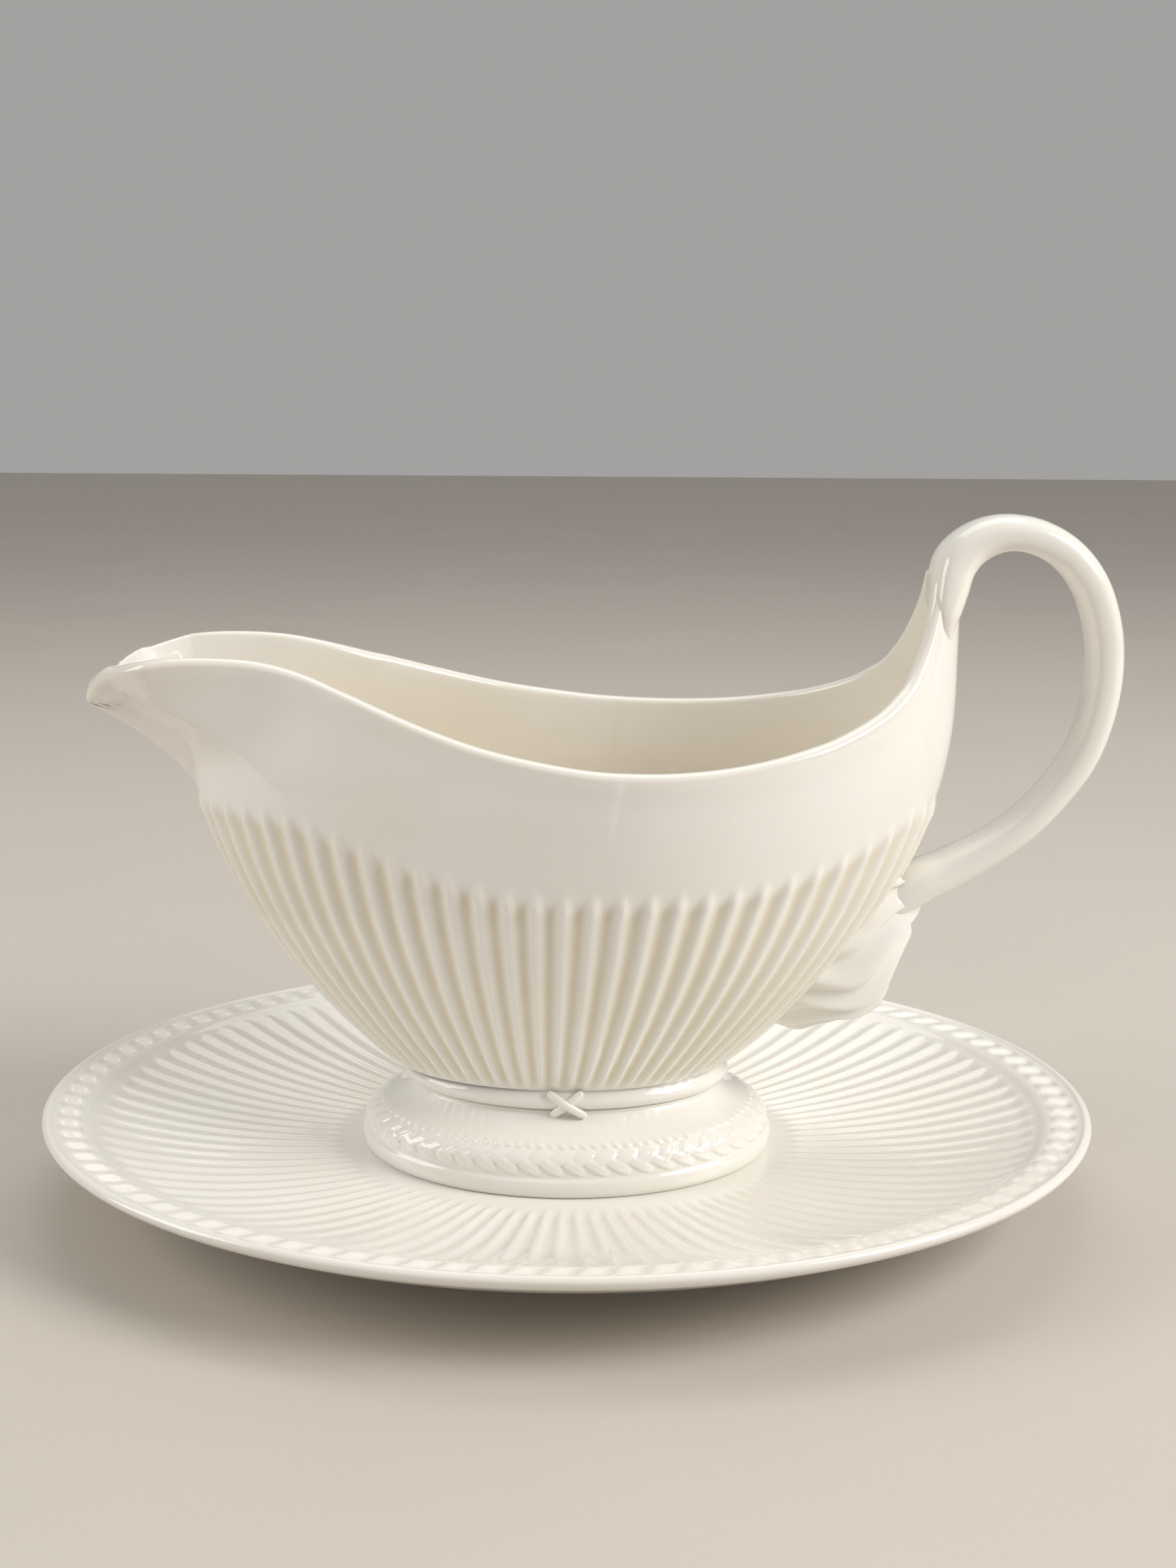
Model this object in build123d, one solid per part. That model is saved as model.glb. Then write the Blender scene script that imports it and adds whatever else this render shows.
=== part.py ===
"""Oval sauce boat with its own loose oval stand, in glazed earthenware.

Millimetres, +Z up. The origin is the centre of the stand's oval, on the surface it stands on.
+X points to the handle and -X to the pouring lip.
"""
from build123d import *
import math
import os

# Stand
STAND_LENGTH = 240.0
STAND_WIDTH = 184.8
STAND_HEIGHT = 22.0
STAND_WALL = 4.2
STAND_LIP_WALL = 3.0
SEAT_HEIGHT = 10.5
BORDER_WIDTH = 13.0
WELL_GAP = 4.4
FOOT_RING_WIDTH = 6.0
FOOT_RING_INSET = 54.0
# Heights on the dish's top, as shares of its rise from the seat to the rim
DISH_MIDDLE_RISE = 0.2
DISH_BORDER_RISE = 0.62

# Foot and collar of the boat
REST_GAP = 0.05
FOOT_LENGTH = 95.0
FOOT_WIDTH = 70.6
FOOT_HEIGHT = 15.0
FOOT_EDGE = 2.5
FOOT_WALL = 5.0
COLLAR_LENGTH = 72.0
COLLAR_WIDTH = 47.0
COLLAR_HEIGHT = 5.5
COLLAR_BULGE = 1.4
# Levels up the foot's shoulder and up the collar, as shares of their heights
SHOULDER_LEVELS = (0.0, 0.3, 0.55, 0.75, 0.88, 0.96, 1.0)
COLLAR_LEVELS = (0.0, 0.2, 0.5, 0.8, 1.0)

# Bowl
BOWL_WIDTH = 94.4
BACK_REACH = 86.0
BODY_REACH = 86.5
FULL_HEIGHT = 118.0
WIDEST_X = 14.0
BOWL_WALL = 3.4
BOWL_FLOOR = 5.0
BOWL_SWELL = 4.0
TONGUE_NARROWING = 0.4
# Powers of the curves: the side's swelling, and the level ovals at the collar and at full height
SWELL_POWER = 2.15
COLLAR_POWER = 2.0
FULL_POWER = 1.55
BODY_LEVELS = (0, 0.06, 0.16, 0.3, 0.46, 0.64, 0.84)
OUTLINE_STEPS = 14

# Pouring lip
SPOUT_REACH = 107.5
SPOUT_SHOULDER = 88.0
SPOUT_WIDTH = 44.0
SPOUT_ROOT_HEIGHT = 94.0
SPOUT_TIP_HEIGHT = 113.0
SPOUT_TOP_HEIGHT = 124.5
SPOUT_TOP_X = -78.0
SPOUT_CURVE = 1.25
SPOUT_ROUNDING = 1.4
SPOUT_BLEND = 8.0
SPOUT_LEVELS = (0, 0.25, 0.5, 0.7, 0.85, 1.0, 1.2, 1.5)

# Rim, seen from the side
RIM_LOW_HEIGHT = 105.6
RIM_LOW_X = 18.0
RIM_CUT_PAST = 2.0
NOSE_LENGTH = 8.0
# Points between the named ones: (share of the way along, share of the way up)
NOSE_DROP = 0.27
RIM_FALL = (0.55, 0.5)
RIM_CLIMB = (0.7, 0.14)
TONGUE_RISES = (0.4, 0.72)
TONGUE_CURVE = 4.5
TONGUE_TOP_OUT = 2.2

# Handle
JOIN_HEIGHT = 143.0
HANDLE_TOP = 156.0
HANDLE_REACH = 122.3
HANDLE_THICKNESS = 8.8
HANDLE_WIDTH = 13.0
HANDLE_FOOT_HEIGHT = 73.0
HANDLE_ROUNDING = 3.2
HANDLE_START_OUT = 1.6
# The elbow of the loop, as shares of the way in and of the way down
ELBOW_IN = 0.56
ELBOW_DOWN = 0.78

# Leaf under the handle
LEAF_WIDTH = 26.0
LEAF_PROUD = 11.0
LEAF_LOW_HEIGHT = 41.0
LEAF_TOP_DROP = 2.0
LEAF_TAIL = 1.5
# How far the leaf stands out of the wall at its top, upper curl, lower curl and tail, in LEAF_PROUD
LEAF_STAND_OUT = (0.3, 0.45, -0.1, 0.6)
LEAF_CURLS = (0.3, 0.72)

# Ribbon ties on the collar
TIE_LENGTH = 10.0
TIE_THICKNESS = 1.8
TIE_TURN = 40.0

foot_base = SEAT_HEIGHT + REST_GAP
foot_top = foot_base + FOOT_HEIGHT
bowl_base = foot_top + COLLAR_HEIGHT
stand_ratio = STAND_WIDTH / STAND_LENGTH


def oval_turned(profile, ratio):
    """A closed profile in the XZ plane turned about Z, then narrowed in Y to make an oval."""
    return scale(revolve(Plane.XZ * profile, Axis.Z), by=(1, ratio, 1))


def stand_dish():
    edge = STAND_LENGTH / 2
    well = FOOT_LENGTH / 2 + WELL_GAP
    ring = edge - FOOT_RING_INSET
    bead = STAND_LIP_WALL / 2
    shoulder = edge - BORDER_WIDTH
    rise = STAND_HEIGHT - SEAT_HEIGHT
    middle = (well + shoulder) / 2
    top = Spline(
        (well, SEAT_HEIGHT),
        (middle, SEAT_HEIGHT + DISH_MIDDLE_RISE * rise),
        (shoulder, SEAT_HEIGHT + DISH_BORDER_RISE * rise),
        (edge - bead, STAND_HEIGHT),
        tangents=((1, 0), (1, 0.3)),
    )
    lip = ThreePointArc(
        (edge - bead, STAND_HEIGHT),
        (edge, STAND_HEIGHT - bead),
        (edge - bead, STAND_HEIGHT - STAND_LIP_WALL),
    )
    under = Spline(
        (edge - bead, STAND_HEIGHT - STAND_LIP_WALL),
        (shoulder, SEAT_HEIGHT + DISH_BORDER_RISE * rise - STAND_WALL),
        (ring, SEAT_HEIGHT - STAND_WALL),
        tangents=((-1, -0.4), (-1, 0)),
    )
    below = SEAT_HEIGHT - STAND_WALL
    flat = Polyline((ring, below), (0, below), (0, SEAT_HEIGHT), (well, SEAT_HEIGHT))
    return oval_turned(make_face(top + lip + under + flat), stand_ratio)


def stand_foot_ring():
    """The oval ring under the dish, as deep as the dish's underside is high, with a flat base."""
    long = STAND_LENGTH / 2 - FOOT_RING_INSET
    wide = long * stand_ratio
    oval = Ellipse(long, wide) - Ellipse(long - FOOT_RING_WIDTH, wide - FOOT_RING_WIDTH)
    ring = extrude(oval, SEAT_HEIGHT - STAND_WALL)
    return fillet(ring.edges().group_by(Axis.Z)[0], FOOT_RING_WIDTH / 5)


def oval_stack(levels):
    """A solid through level ovals, each given as (height, half length, half width)."""
    return loft([Pos(0, 0, z) * Ellipse(long, wide) for z, long, wide in levels], ruled=True)


def foot_levels(wall):
    """The foot's ovals from its base to its neck, drawn in by a wall: a plinth, then a rounded shoulder."""
    plinth = foot_base + FOOT_EDGE
    long = FOOT_LENGTH / 2 - wall
    wide = FOOT_WIDTH / 2 - wall
    neck_long = COLLAR_LENGTH / 2 - wall
    neck_wide = COLLAR_WIDTH / 2 - wall
    levels = [(foot_base, long, wide)]
    for share in SHOULDER_LEVELS:
        spread = (1 - share**2) ** 0.5
        z = plinth + (foot_top - plinth) * share
        levels.append((z, neck_long + (long - neck_long) * spread, neck_wide + (wide - neck_wide) * spread))
    return levels


def boat_foot():
    """The spreading oval foot, hollow underneath and through its neck."""
    return oval_stack(foot_levels(0.0)) - oval_stack(foot_levels(FOOT_WALL))


def boat_collar():
    """The moulded ring between the foot and the bowl, with a rounded outside."""
    long = COLLAR_LENGTH / 2
    wide = COLLAR_WIDTH / 2
    levels = []
    for share in COLLAR_LEVELS:
        bulge = COLLAR_BULGE * 4 * share * (1 - share)
        levels.append((foot_top + COLLAR_HEIGHT * share, long + bulge, wide + bulge))
    hole = [(z, long - FOOT_WALL, wide - FOOT_WALL) for z in (foot_top, bowl_base)]
    return oval_stack(levels) - oval_stack(hole)


def rise_at(z):
    """How far the bowl has risen: 0 at the collar, 1 where it is full."""
    return min(1.0, max(0.0, (z - bowl_base) / (FULL_HEIGHT - bowl_base)))


def swollen(z, low, full):
    """The bowl's rounded side: a size that swells from low at the collar to full."""
    return low + (full - low) * (1 - (1 - rise_at(z)) ** SWELL_POWER)


def lean_at(z):
    """The wall's horizontal thickness, which grows where the wall leans out."""
    lean = swollen(z + 1, COLLAR_LENGTH / 2, BACK_REACH) - swollen(z, COLLAR_LENGTH / 2, BACK_REACH)
    return BOWL_WALL * (1 + lean**2) ** 0.5


def spout_share(z):
    """0 below the root of the pouring lip, 1 at its full width."""
    share = min(1.0, max(0.0, (z - SPOUT_ROOT_HEIGHT) / (SPOUT_TOP_HEIGHT - SPOUT_ROOT_HEIGHT)))
    return (1 - (1 - share) ** 2) ** 0.5


def tip_at(z, body_tip):
    """The front end of the level outline: the body's, drawn out into the pouring lip above its root."""
    share = min(1.0, max(0.0, (z - SPOUT_ROOT_HEIGHT) / (SPOUT_TIP_HEIGHT - SPOUT_ROOT_HEIGHT)))
    return body_tip - (SPOUT_REACH - BODY_REACH) * share**SPOUT_CURVE


def oval_share(u, power):
    return max(0.0, 1 - u**power) ** (1 / power)


def outline_at(z, inset, back_inset):
    """A level outline of the bowl, drawn in by inset, and by back_inset at the handle's side."""
    base_half = COLLAR_LENGTH / 2
    narrow = 1 - TONGUE_NARROWING * max(0.0, z - FULL_HEIGHT) / (JOIN_HEIGHT - FULL_HEIGHT)
    half_width = (swollen(z, COLLAR_WIDTH / 2, BOWL_WIDTH / 2) - inset) * narrow
    back = swollen(z, base_half, BACK_REACH) - back_inset
    body_tip = -(swollen(z, base_half + BOWL_SWELL, BODY_REACH) - inset)
    tip = tip_at(z, body_tip)
    widest = WIDEST_X * rise_at(z)
    power = COLLAR_POWER + (FULL_POWER - COLLAR_POWER) * rise_at(z)
    spout_half = max(0.0, SPOUT_WIDTH / 2 - inset) * spout_share(z)
    shoulder = -SPOUT_SHOULDER + inset

    def half_at(x):
        if x > widest:
            return half_width * oval_share((x - widest) / (back - widest), power)
        body = half_width * oval_share(min(1.0, (widest - x) / (widest - body_tip)), power)
        lip = spout_half
        if x < shoulder and tip < shoulder:
            lip = spout_half * oval_share(min(1.0, (shoulder - x) / (shoulder - tip)), SPOUT_ROUNDING)
        return (body**SPOUT_BLEND + lip**SPOUT_BLEND) ** (1 / SPOUT_BLEND)

    middle = (tip + back) / 2
    half = (back - tip) / 2
    side = []
    for i in range(1, OUTLINE_STEPS):
        x = middle - half * math.cos(math.pi * i / OUTLINE_STEPS)
        side.append((x, half_at(x)))
    other = [(x, -y) for x, y in reversed(side)]
    return Pos(0, 0, z) * make_face(Spline((tip, 0), *side, (back, 0), *other, periodic=True))


def bowl_levels(low, high):
    """Heights for the level outlines: close together at the collar and along the pouring lip."""
    root = SPOUT_ROOT_HEIGHT
    lip = SPOUT_TIP_HEIGHT - root
    body = [low + (root - low) * share for share in BODY_LEVELS]
    spout = [root + lip * share for share in SPOUT_LEVELS]
    last = spout[-1]
    top = [last + (high - last) * share for share in (0.5, 1.0)]
    return body + spout + top


def bowl_outside():
    return loft([outline_at(z, 0.0, 0.0) for z in bowl_levels(bowl_base, JOIN_HEIGHT)], ruled=True)


def bowl_inside():
    outlines = []
    for z in bowl_levels(bowl_base + BOWL_FLOOR, JOIN_HEIGHT + BOWL_WALL):
        inset = lean_at(z)
        thicker = max(0.0, (z - RIM_LOW_HEIGHT) / (JOIN_HEIGHT - RIM_LOW_HEIGHT))
        back_inset = inset + (HANDLE_THICKNESS - BOWL_WALL) * thicker
        outlines.append(outline_at(z, inset, back_inset))
    return loft(outlines, ruled=True)


def above_rim():
    """Everything above the rim line: high at the lip, low at the middle, climbing to the handle."""
    far = 2 * BOWL_WIDTH
    climb = JOIN_HEIGHT - RIM_LOW_HEIGHT
    drop = SPOUT_TOP_HEIGHT - RIM_LOW_HEIGHT
    tongue = BACK_REACH - HANDLE_THICKNESS
    fall_x = RIM_LOW_X - RIM_FALL[0] * (RIM_LOW_X - SPOUT_TOP_X)
    climb_x = RIM_LOW_X + RIM_CLIMB[0] * (tongue - RIM_LOW_X)
    tip = (-SPOUT_REACH - RIM_CUT_PAST, SPOUT_TIP_HEIGHT - RIM_CUT_PAST)
    end = (tongue + TONGUE_TOP_OUT, JOIN_HEIGHT + RIM_CUT_PAST)
    rim = Spline(
        tip,
        (-SPOUT_REACH + NOSE_LENGTH, SPOUT_TOP_HEIGHT - NOSE_DROP * drop),
        (SPOUT_TOP_X, SPOUT_TOP_HEIGHT),
        (fall_x, RIM_LOW_HEIGHT + RIM_FALL[1] * drop),
        (RIM_LOW_X, RIM_LOW_HEIGHT),
        (climb_x, RIM_LOW_HEIGHT + RIM_CLIMB[1] * climb),
        (tongue - TONGUE_CURVE, RIM_LOW_HEIGHT + TONGUE_RISES[0] * climb),
        (tongue, RIM_LOW_HEIGHT + TONGUE_RISES[1] * climb),
        end,
    )
    frame = Polyline(end, (end[0], far), (tip[0], far), tip)
    return extrude(Plane.XZ * make_face(rim + frame), BOWL_WIDTH, both=True)


def boat_bowl(outside):
    return outside - bowl_inside() - above_rim()


def boat_handle(outside):
    """A rounded strap that rises from the bowl's back, loops over and comes in again lower down."""
    half = HANDLE_THICKNESS / 2
    start = BACK_REACH - half + HANDLE_START_OUT
    top = HANDLE_TOP - half
    crest = start + top - JOIN_HEIGHT
    reach = HANDLE_REACH - half
    side = top - (reach - crest)
    elbow = (reach - ELBOW_IN * (reach - start), side - ELBOW_DOWN * (side - HANDLE_FOOT_HEIGHT))
    rise = TangentArc((start, JOIN_HEIGHT), (crest, top), tangent=(0, 1))
    over = TangentArc(rise @ 1, (reach, side), tangent=rise % 1)
    down = TangentArc(over @ 1, elbow, tangent=over % 1)
    root = TangentArc(down @ 1, (start - HANDLE_THICKNESS, HANDLE_FOOT_HEIGHT), tangent=down % 1)
    path = Plane.XZ * (rise + over + down + root)
    section = RectangleRounded(HANDLE_THICKNESS, HANDLE_WIDTH, HANDLE_ROUNDING)
    strap = sweep(Plane((start, 0, JOIN_HEIGHT)) * section, path=path)
    return largest(strap - outside)


def largest(shape):
    return max(shape.solids(), key=lambda solid: solid.volume)


def leaf_profile():
    """The leaf seen from the side: its curled outside, closed by a line inside the bowl's wall."""
    high = HANDLE_FOOT_HEIGHT - LEAF_TOP_DROP
    tall = high - LEAF_LOW_HEIGHT
    reach = swollen(high, COLLAR_LENGTH / 2, BACK_REACH)
    low_reach = swollen(LEAF_LOW_HEIGHT, COLLAR_LENGTH / 2, BACK_REACH)
    out = [share * LEAF_PROUD for share in LEAF_STAND_OUT]
    top = (reach + out[0], high)
    tail = (low_reach + out[2], LEAF_LOW_HEIGHT - LEAF_TAIL)
    outer = Spline(
        top,
        (reach + out[1], high - LEAF_CURLS[0] * tall),
        (reach + out[2], high - LEAF_CURLS[1] * tall),
        (low_reach + out[3], LEAF_LOW_HEIGHT),
        tail,
    )
    return make_face(outer + Polyline(tail, (reach - LEAF_PROUD, high), top))


def handle_leaf(outside, handle):
    """The raised leaf that the handle's lower end grows from, lying on the bowl's back."""
    slab = extrude(Plane.XZ * leaf_profile(), LEAF_WIDTH / 2, both=True)
    ends = slab.edges().filter_by(GeomType.BSPLINE)
    return largest(fillet(ends, LEAF_WIDTH / 6) - outside - handle)


def foot_ribbon_ties(bowl, collar, foot):
    """A crossed ribbon on the collar at the front and another at the back."""
    middle = foot_top + COLLAR_HEIGHT / 2
    side = COLLAR_WIDTH / 2 + COLLAR_BULGE
    bar = Box(TIE_LENGTH, 2 * TIE_THICKNESS, TIE_THICKNESS)
    bar = fillet(bar.edges().filter_by(Axis.Z), TIE_THICKNESS / 3)
    cross = Rot(0, TIE_TURN, 0) * bar + Rot(0, -TIE_TURN, 0) * bar
    ties = []
    for face in (-1, 1):
        tie = Pos(0, face * side, middle) * cross
        ties.append(largest(tie - bowl - collar - foot))
    return Compound(children=ties)


def save(shape, node):
    shape.label = node
    export_step(shape, f"parts/{node}.step")


os.makedirs("parts", exist_ok=True)
dish = stand_dish()
ring = stand_foot_ring()
foot = boat_foot()
collar = boat_collar()
outside = bowl_outside()
bowl = boat_bowl(outside)
handle = boat_handle(outside)
leaf = handle_leaf(outside, handle)
ties = foot_ribbon_ties(bowl, collar, foot)
save(dish, "stand_dish")
save(ring, "stand_foot_ring")
save(foot, "boat_foot")
save(collar, "boat_collar")
save(bowl, "boat_bowl")
save(handle, "boat_handle")
save(leaf, "handle_leaf")
save(ties, "foot_ribbon_ties")
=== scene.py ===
# %% [markdown]
# # A gravy boat on its stand
#
# This lesson builds the look of a glazed earthenware sauce boat around its CAD model. The CAD nodes
# give the main sizes, and the finer curves are tables of millimetres in the same frame. Each visible
# piece is bent from a grid or spun from a profile with bmesh, and scaled to metres at the end.

# %% Load the frame
import math

import bmesh
import bpy
import numpy as np
from mathutils import Matrix, Vector


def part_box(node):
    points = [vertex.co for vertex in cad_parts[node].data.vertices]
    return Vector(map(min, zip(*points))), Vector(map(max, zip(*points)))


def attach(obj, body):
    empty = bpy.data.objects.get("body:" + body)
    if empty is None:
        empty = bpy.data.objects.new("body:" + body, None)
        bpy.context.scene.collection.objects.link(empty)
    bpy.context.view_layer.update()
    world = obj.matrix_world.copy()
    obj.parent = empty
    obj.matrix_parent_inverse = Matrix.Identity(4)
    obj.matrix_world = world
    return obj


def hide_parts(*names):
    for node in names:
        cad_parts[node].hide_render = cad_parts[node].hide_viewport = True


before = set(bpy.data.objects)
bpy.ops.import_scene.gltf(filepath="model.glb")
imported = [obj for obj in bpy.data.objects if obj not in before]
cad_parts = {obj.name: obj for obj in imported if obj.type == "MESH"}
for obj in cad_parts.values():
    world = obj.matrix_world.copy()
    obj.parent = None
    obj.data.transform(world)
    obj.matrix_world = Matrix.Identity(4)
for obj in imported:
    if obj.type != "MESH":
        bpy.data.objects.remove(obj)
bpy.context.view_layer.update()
MM = 0.001

# %% [markdown]
# ## Sizes that every piece shares
#
# Reading them keeps the looks and the CAD the same size. The rim, strap, leaf and moulding have their own
# tables further down, which were fitted by measuring, so those change by hand with the CAD.

# %% Measure the frame
def node_box(node):
    low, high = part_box(node)
    return np.array(low) / MM, np.array(high) / MM


dish_high = node_box("stand_dish")[1]
foot_low, foot_high = node_box("boat_foot")
collar_low, collar_high = node_box("boat_collar")
bowl_low, bowl_high = node_box("boat_bowl")
seat = foot_low[2]
bowl_base = bowl_low[2]
join = bowl_high[2]
print(f"seat at {seat:.2f} mm, bowl from {bowl_base:.2f} to {join:.2f} mm")

# %% [markdown]
# ## Helpers for clay
#
# Most pieces start as a flat grid of clay, bent by a rule that says where each point goes. The grid comes
# from one bmesh operator and brings a UV map along, which tells a point's place round and up. The seam is welded
# and the normals are made to point outwards before the piece is handed over.

# %% Bend a grid into a piece
def smooth(low, high, x):
    """0 below low, 1 above high, and an easy curve between."""
    t = np.clip((np.asarray(x, float) - low) / (high - low), 0.0, 1.0)
    return t * t * (3 - 2 * t)


def smooth_path(points, t):
    """A Catmull-Rom curve through points, for t from 0 to 1."""
    points = np.asarray(points, float)
    padded = np.vstack([2 * points[0] - points[1], points, 2 * points[-1] - points[-2]])
    spot = np.clip(t, 0, 1) * (len(points) - 1)
    i = np.minimum(spot.astype(int), len(points) - 2)
    f = (spot - i)[:, None]
    a, b, c, d = padded[i], padded[i + 1], padded[i + 2], padded[i + 3]
    return 0.5 * (2 * b + (c - a) * f + (2 * a - 5 * b + 4 * c - d) * f**2 + (3 * b - a - 3 * c + d) * f**3)


WELD = 0.0008


def finish_mesh(bm, name):
    """Scales to metres, closes the seam, turns the faces outwards and makes the object."""
    bmesh.ops.scale(bm, vec=(MM, MM, MM), verts=bm.verts)
    bmesh.ops.remove_doubles(bm, verts=bm.verts, dist=WELD * MM)
    bmesh.ops.dissolve_degenerate(bm, edges=bm.edges, dist=1e-8)
    bmesh.ops.recalc_face_normals(bm, faces=bm.faces)
    mesh = bpy.data.meshes.new(name)
    bm.to_mesh(mesh)
    bm.free()
    mesh.shade_smooth()
    piece = bpy.data.objects.new(name, mesh)
    bpy.context.scene.collection.objects.link(piece)
    print(f"{name}: {len(mesh.polygons)} faces")
    return piece


def bent_grid(name, around, along, place):
    """A grid whose point (u, v), both from 0 to 1, goes to place(u, v), an array of three numbers."""
    bm = bmesh.new()
    bm.loops.layers.uv.new("map")
    bmesh.ops.create_grid(bm, x_segments=around, y_segments=along, size=0.5, calc_uvs=True)
    flat = np.array([v.co for v in bm.verts])
    u = np.clip(flat[:, 0] + 0.5, 0, 1)
    v = np.clip(flat[:, 1] + 0.5, 0, 1)
    places = place(u, v)
    for vert, spot in zip(bm.verts, places):
        vert.co = spot
    return finish_mesh(bm, name)


def grade(piece, name, values):
    """Stores one number for each point of a piece, which a material can read."""
    layer = piece.data.attributes.new(name, "FLOAT", "POINT")
    layer.data.foreach_set("value", np.asarray(values, np.float32))


# %% [markdown]
# ## The bowl's shape
#
# The bowl is one shell: an oval body that swells from the collar, drawn out into a pouring lip at the
# front and pulled up into a tongue at the back, where the handle grows from it. It could be lofted from
# slices, but a rule for its level outline at any height is easier to change and has no seams.

# %% The bowl's rules
full = 118.0        # height where the body is at its widest
body_reach = 86.5   # how far forward the body goes, without the lip
lip_root = 94.0     # height where the lip leaves the body
lip_tip = 112.5     # height of the lip's tip
root_reach = 84.8   # how far forward the body is at the lip's root
shoulder = 88.0     # where the lip's sides start to close in
collar_bulge = 1.4
wall = 3.4
lip_reach = -bowl_low[0]
back_reach = bowl_high[0]
half_wide = bowl_high[1]
neck_long = collar_high[0] - collar_bulge
neck_wide = collar_high[1] - collar_bulge


def rise_at(z):
    return np.clip((z - bowl_base) / (full - bowl_base), 0.0, 1.0)


def swollen(z, low, high):
    return low + (high - low) * (1 - (1 - rise_at(z)) ** 2.15)


rim_points = [
    (-107.5, 113.6), (-104, 116.9), (-100, 119.5), (-96, 121.4), (-88, 123.6), (-78, 124.5), (-66, 124.0),
    (-54, 121.5), (-42, 117.6), (-30, 113.7), (-18, 110.3), (-6, 107.9), (6, 106.2), (18, 105.6), (30, 105.9),
    (42, 107.2), (54, 109.7), (60, 111.6), (66, 114.2), (70, 116.7), (73.6, 120.0), (76.2, 124.0), (78.0, 128.0),
    (79.3, 132.0), (80.4, 136.0), (81.5, 141.0), (83.5, 150.0),
]
rim_line = smooth_path(rim_points, np.linspace(0, 1, 1500))


def rim_height(x):
    """The rim line seen from the side: high at the lip, low in the middle, climbing to the handle."""
    return np.interp(x, rim_line[:, 0], rim_line[:, 1])


def keel_height(x):
    """The underside of the pouring lip and, behind it, the body's front line."""
    lip = lip_root + (lip_tip - lip_root) * np.clip((-x - root_reach) / (lip_reach - root_reach), 0, 1) ** (1 / 1.4)
    share = np.clip((-x - neck_long - 4) / (body_reach - neck_long - 4), 0, 1)
    body = bowl_base + (full - bowl_base) * (1 - (1 - share) ** (1 / 2.15))
    return np.where(x < -root_reach, lip, np.minimum(body, lip_root))


def tip_at(z):
    share = np.clip((z - lip_root) / (lip_tip - lip_root), 0, 1)
    return -swollen(np.minimum(z, lip_root), neck_long + 4, body_reach) - (lip_reach - root_reach) * share**1.4


def lip_half(x, z):
    """Half the width of the pouring lip at x and height z: upright sides above a crease, a cove below."""
    toe = np.clip((-shoulder - x) / (lip_reach - shoulder), 0, 1)
    mouth = 22.2 * (1 - toe**1.4) ** (1 / 1.4)
    top = rim_height(x)
    crease = top - np.clip(3.0 + 0.62 * (x + 96), 2.2, 30)
    keel = keel_height(x)
    low = np.clip((z - keel) / np.maximum(crease - keel, 0.5), 0, 1)
    cove = 0.86 * mouth * (0.28 * low**0.5 + 0.72 * low**2.6)
    upper = np.clip((z - crease) / np.maximum(top - crease, 0.5), 0, 1.2)
    return np.where(z < crease, cove, mouth * (0.86 + 0.14 * upper))


def outline(z, count):
    """Half of the level outline at height z, from the front tip to the back, as (x, y) rows."""
    tip = float(tip_at(z))
    back = float(swollen(z, neck_long, back_reach))
    angle = np.linspace(0, math.pi, count)
    x = (tip + back) / 2 - (back - tip) / 2 * np.cos(angle)
    rise = float(rise_at(z))
    power = 2.0 - 0.45 * rise
    widest = 14.0 * rise
    narrow = 1 - 0.4 * max(0.0, z - full) / (join - full)
    wide = float(swollen(z, neck_wide, half_wide)) * narrow
    body_tip = -float(swollen(z, neck_long + 4, body_reach)) + 14.0 * float(smooth(93, 122, z))
    front = np.clip((widest - x) / (widest - body_tip), 0, 1)
    rear = np.clip((x - widest) / (back - widest), 0, 1)
    front, rear = (t * t / np.maximum(t + 0.05 * (1 - t), 1e-9) for t in (front, rear))
    body = wide * np.where(x < widest, 1 - front ** (power - 0.05), 1 - rear**power) ** (1 / power)
    lip = lip_half(x, z) * (x < widest) * smooth(lip_root - 14, lip_root + 4, z)
    y = (body**5 + lip**5) ** 0.2
    y[0] = y[-1] = 0.0
    return x, y


span = (tip_at(106), swollen(106, neck_long, back_reach))
print("outline at the rim's low point spans", [round(float(end), 1) for end in span])

# %% [markdown]
# The outline is walked in equal steps, as a modeller spaces flutes with dividers, so that a column of
# points is also the line that a flute follows from the collar up to the wall.

# %% A table of outlines, walked in equal steps
HALF_STEPS = 256
heights = np.linspace(bowl_base, join + 1, 150)
shares = np.linspace(0, 1, HALF_STEPS + 1)
table = np.zeros((len(heights), HALF_STEPS + 1, 2))
for row, z in enumerate(heights):
    x, y = outline(z, 900)
    walked = np.concatenate([[0], np.cumsum(np.hypot(np.diff(x), np.diff(y)))])
    table[row, :, 0] = np.interp(shares * walked[-1], walked, x)
    table[row, :, 1] = np.interp(shares * walked[-1], walked, y)


def on_outline(share, z):
    """x and y of the bowl's outside for a share of the walk (0 front, 1 back) and a height."""
    row = np.clip((z - heights[0]) / (heights[1] - heights[0]), 0, len(heights) - 1.001)
    column = np.clip(share * HALF_STEPS, 0, HALF_STEPS - 0.001)
    r, c = row.astype(int), column.astype(int)
    fr, fc = (row - r)[:, None], (column - c)[:, None]
    low = table[r, c] * (1 - fc) + table[r, c + 1] * fc
    high = table[r + 1, c] * (1 - fc) + table[r + 1, c + 1] * fc
    return low * (1 - fr) + high * fr


rim_at = np.full(HALF_STEPS + 1, 110.0)
for _ in range(60):
    spots = on_outline(shares, rim_at)
    rim_at = 0.5 * rim_at + 0.5 * np.clip(rim_height(spots[:, 0]), bowl_base, join)
print("rim height at the front, middle and back:", rim_at[[0, HALF_STEPS // 2, -1]].round(1))

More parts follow.
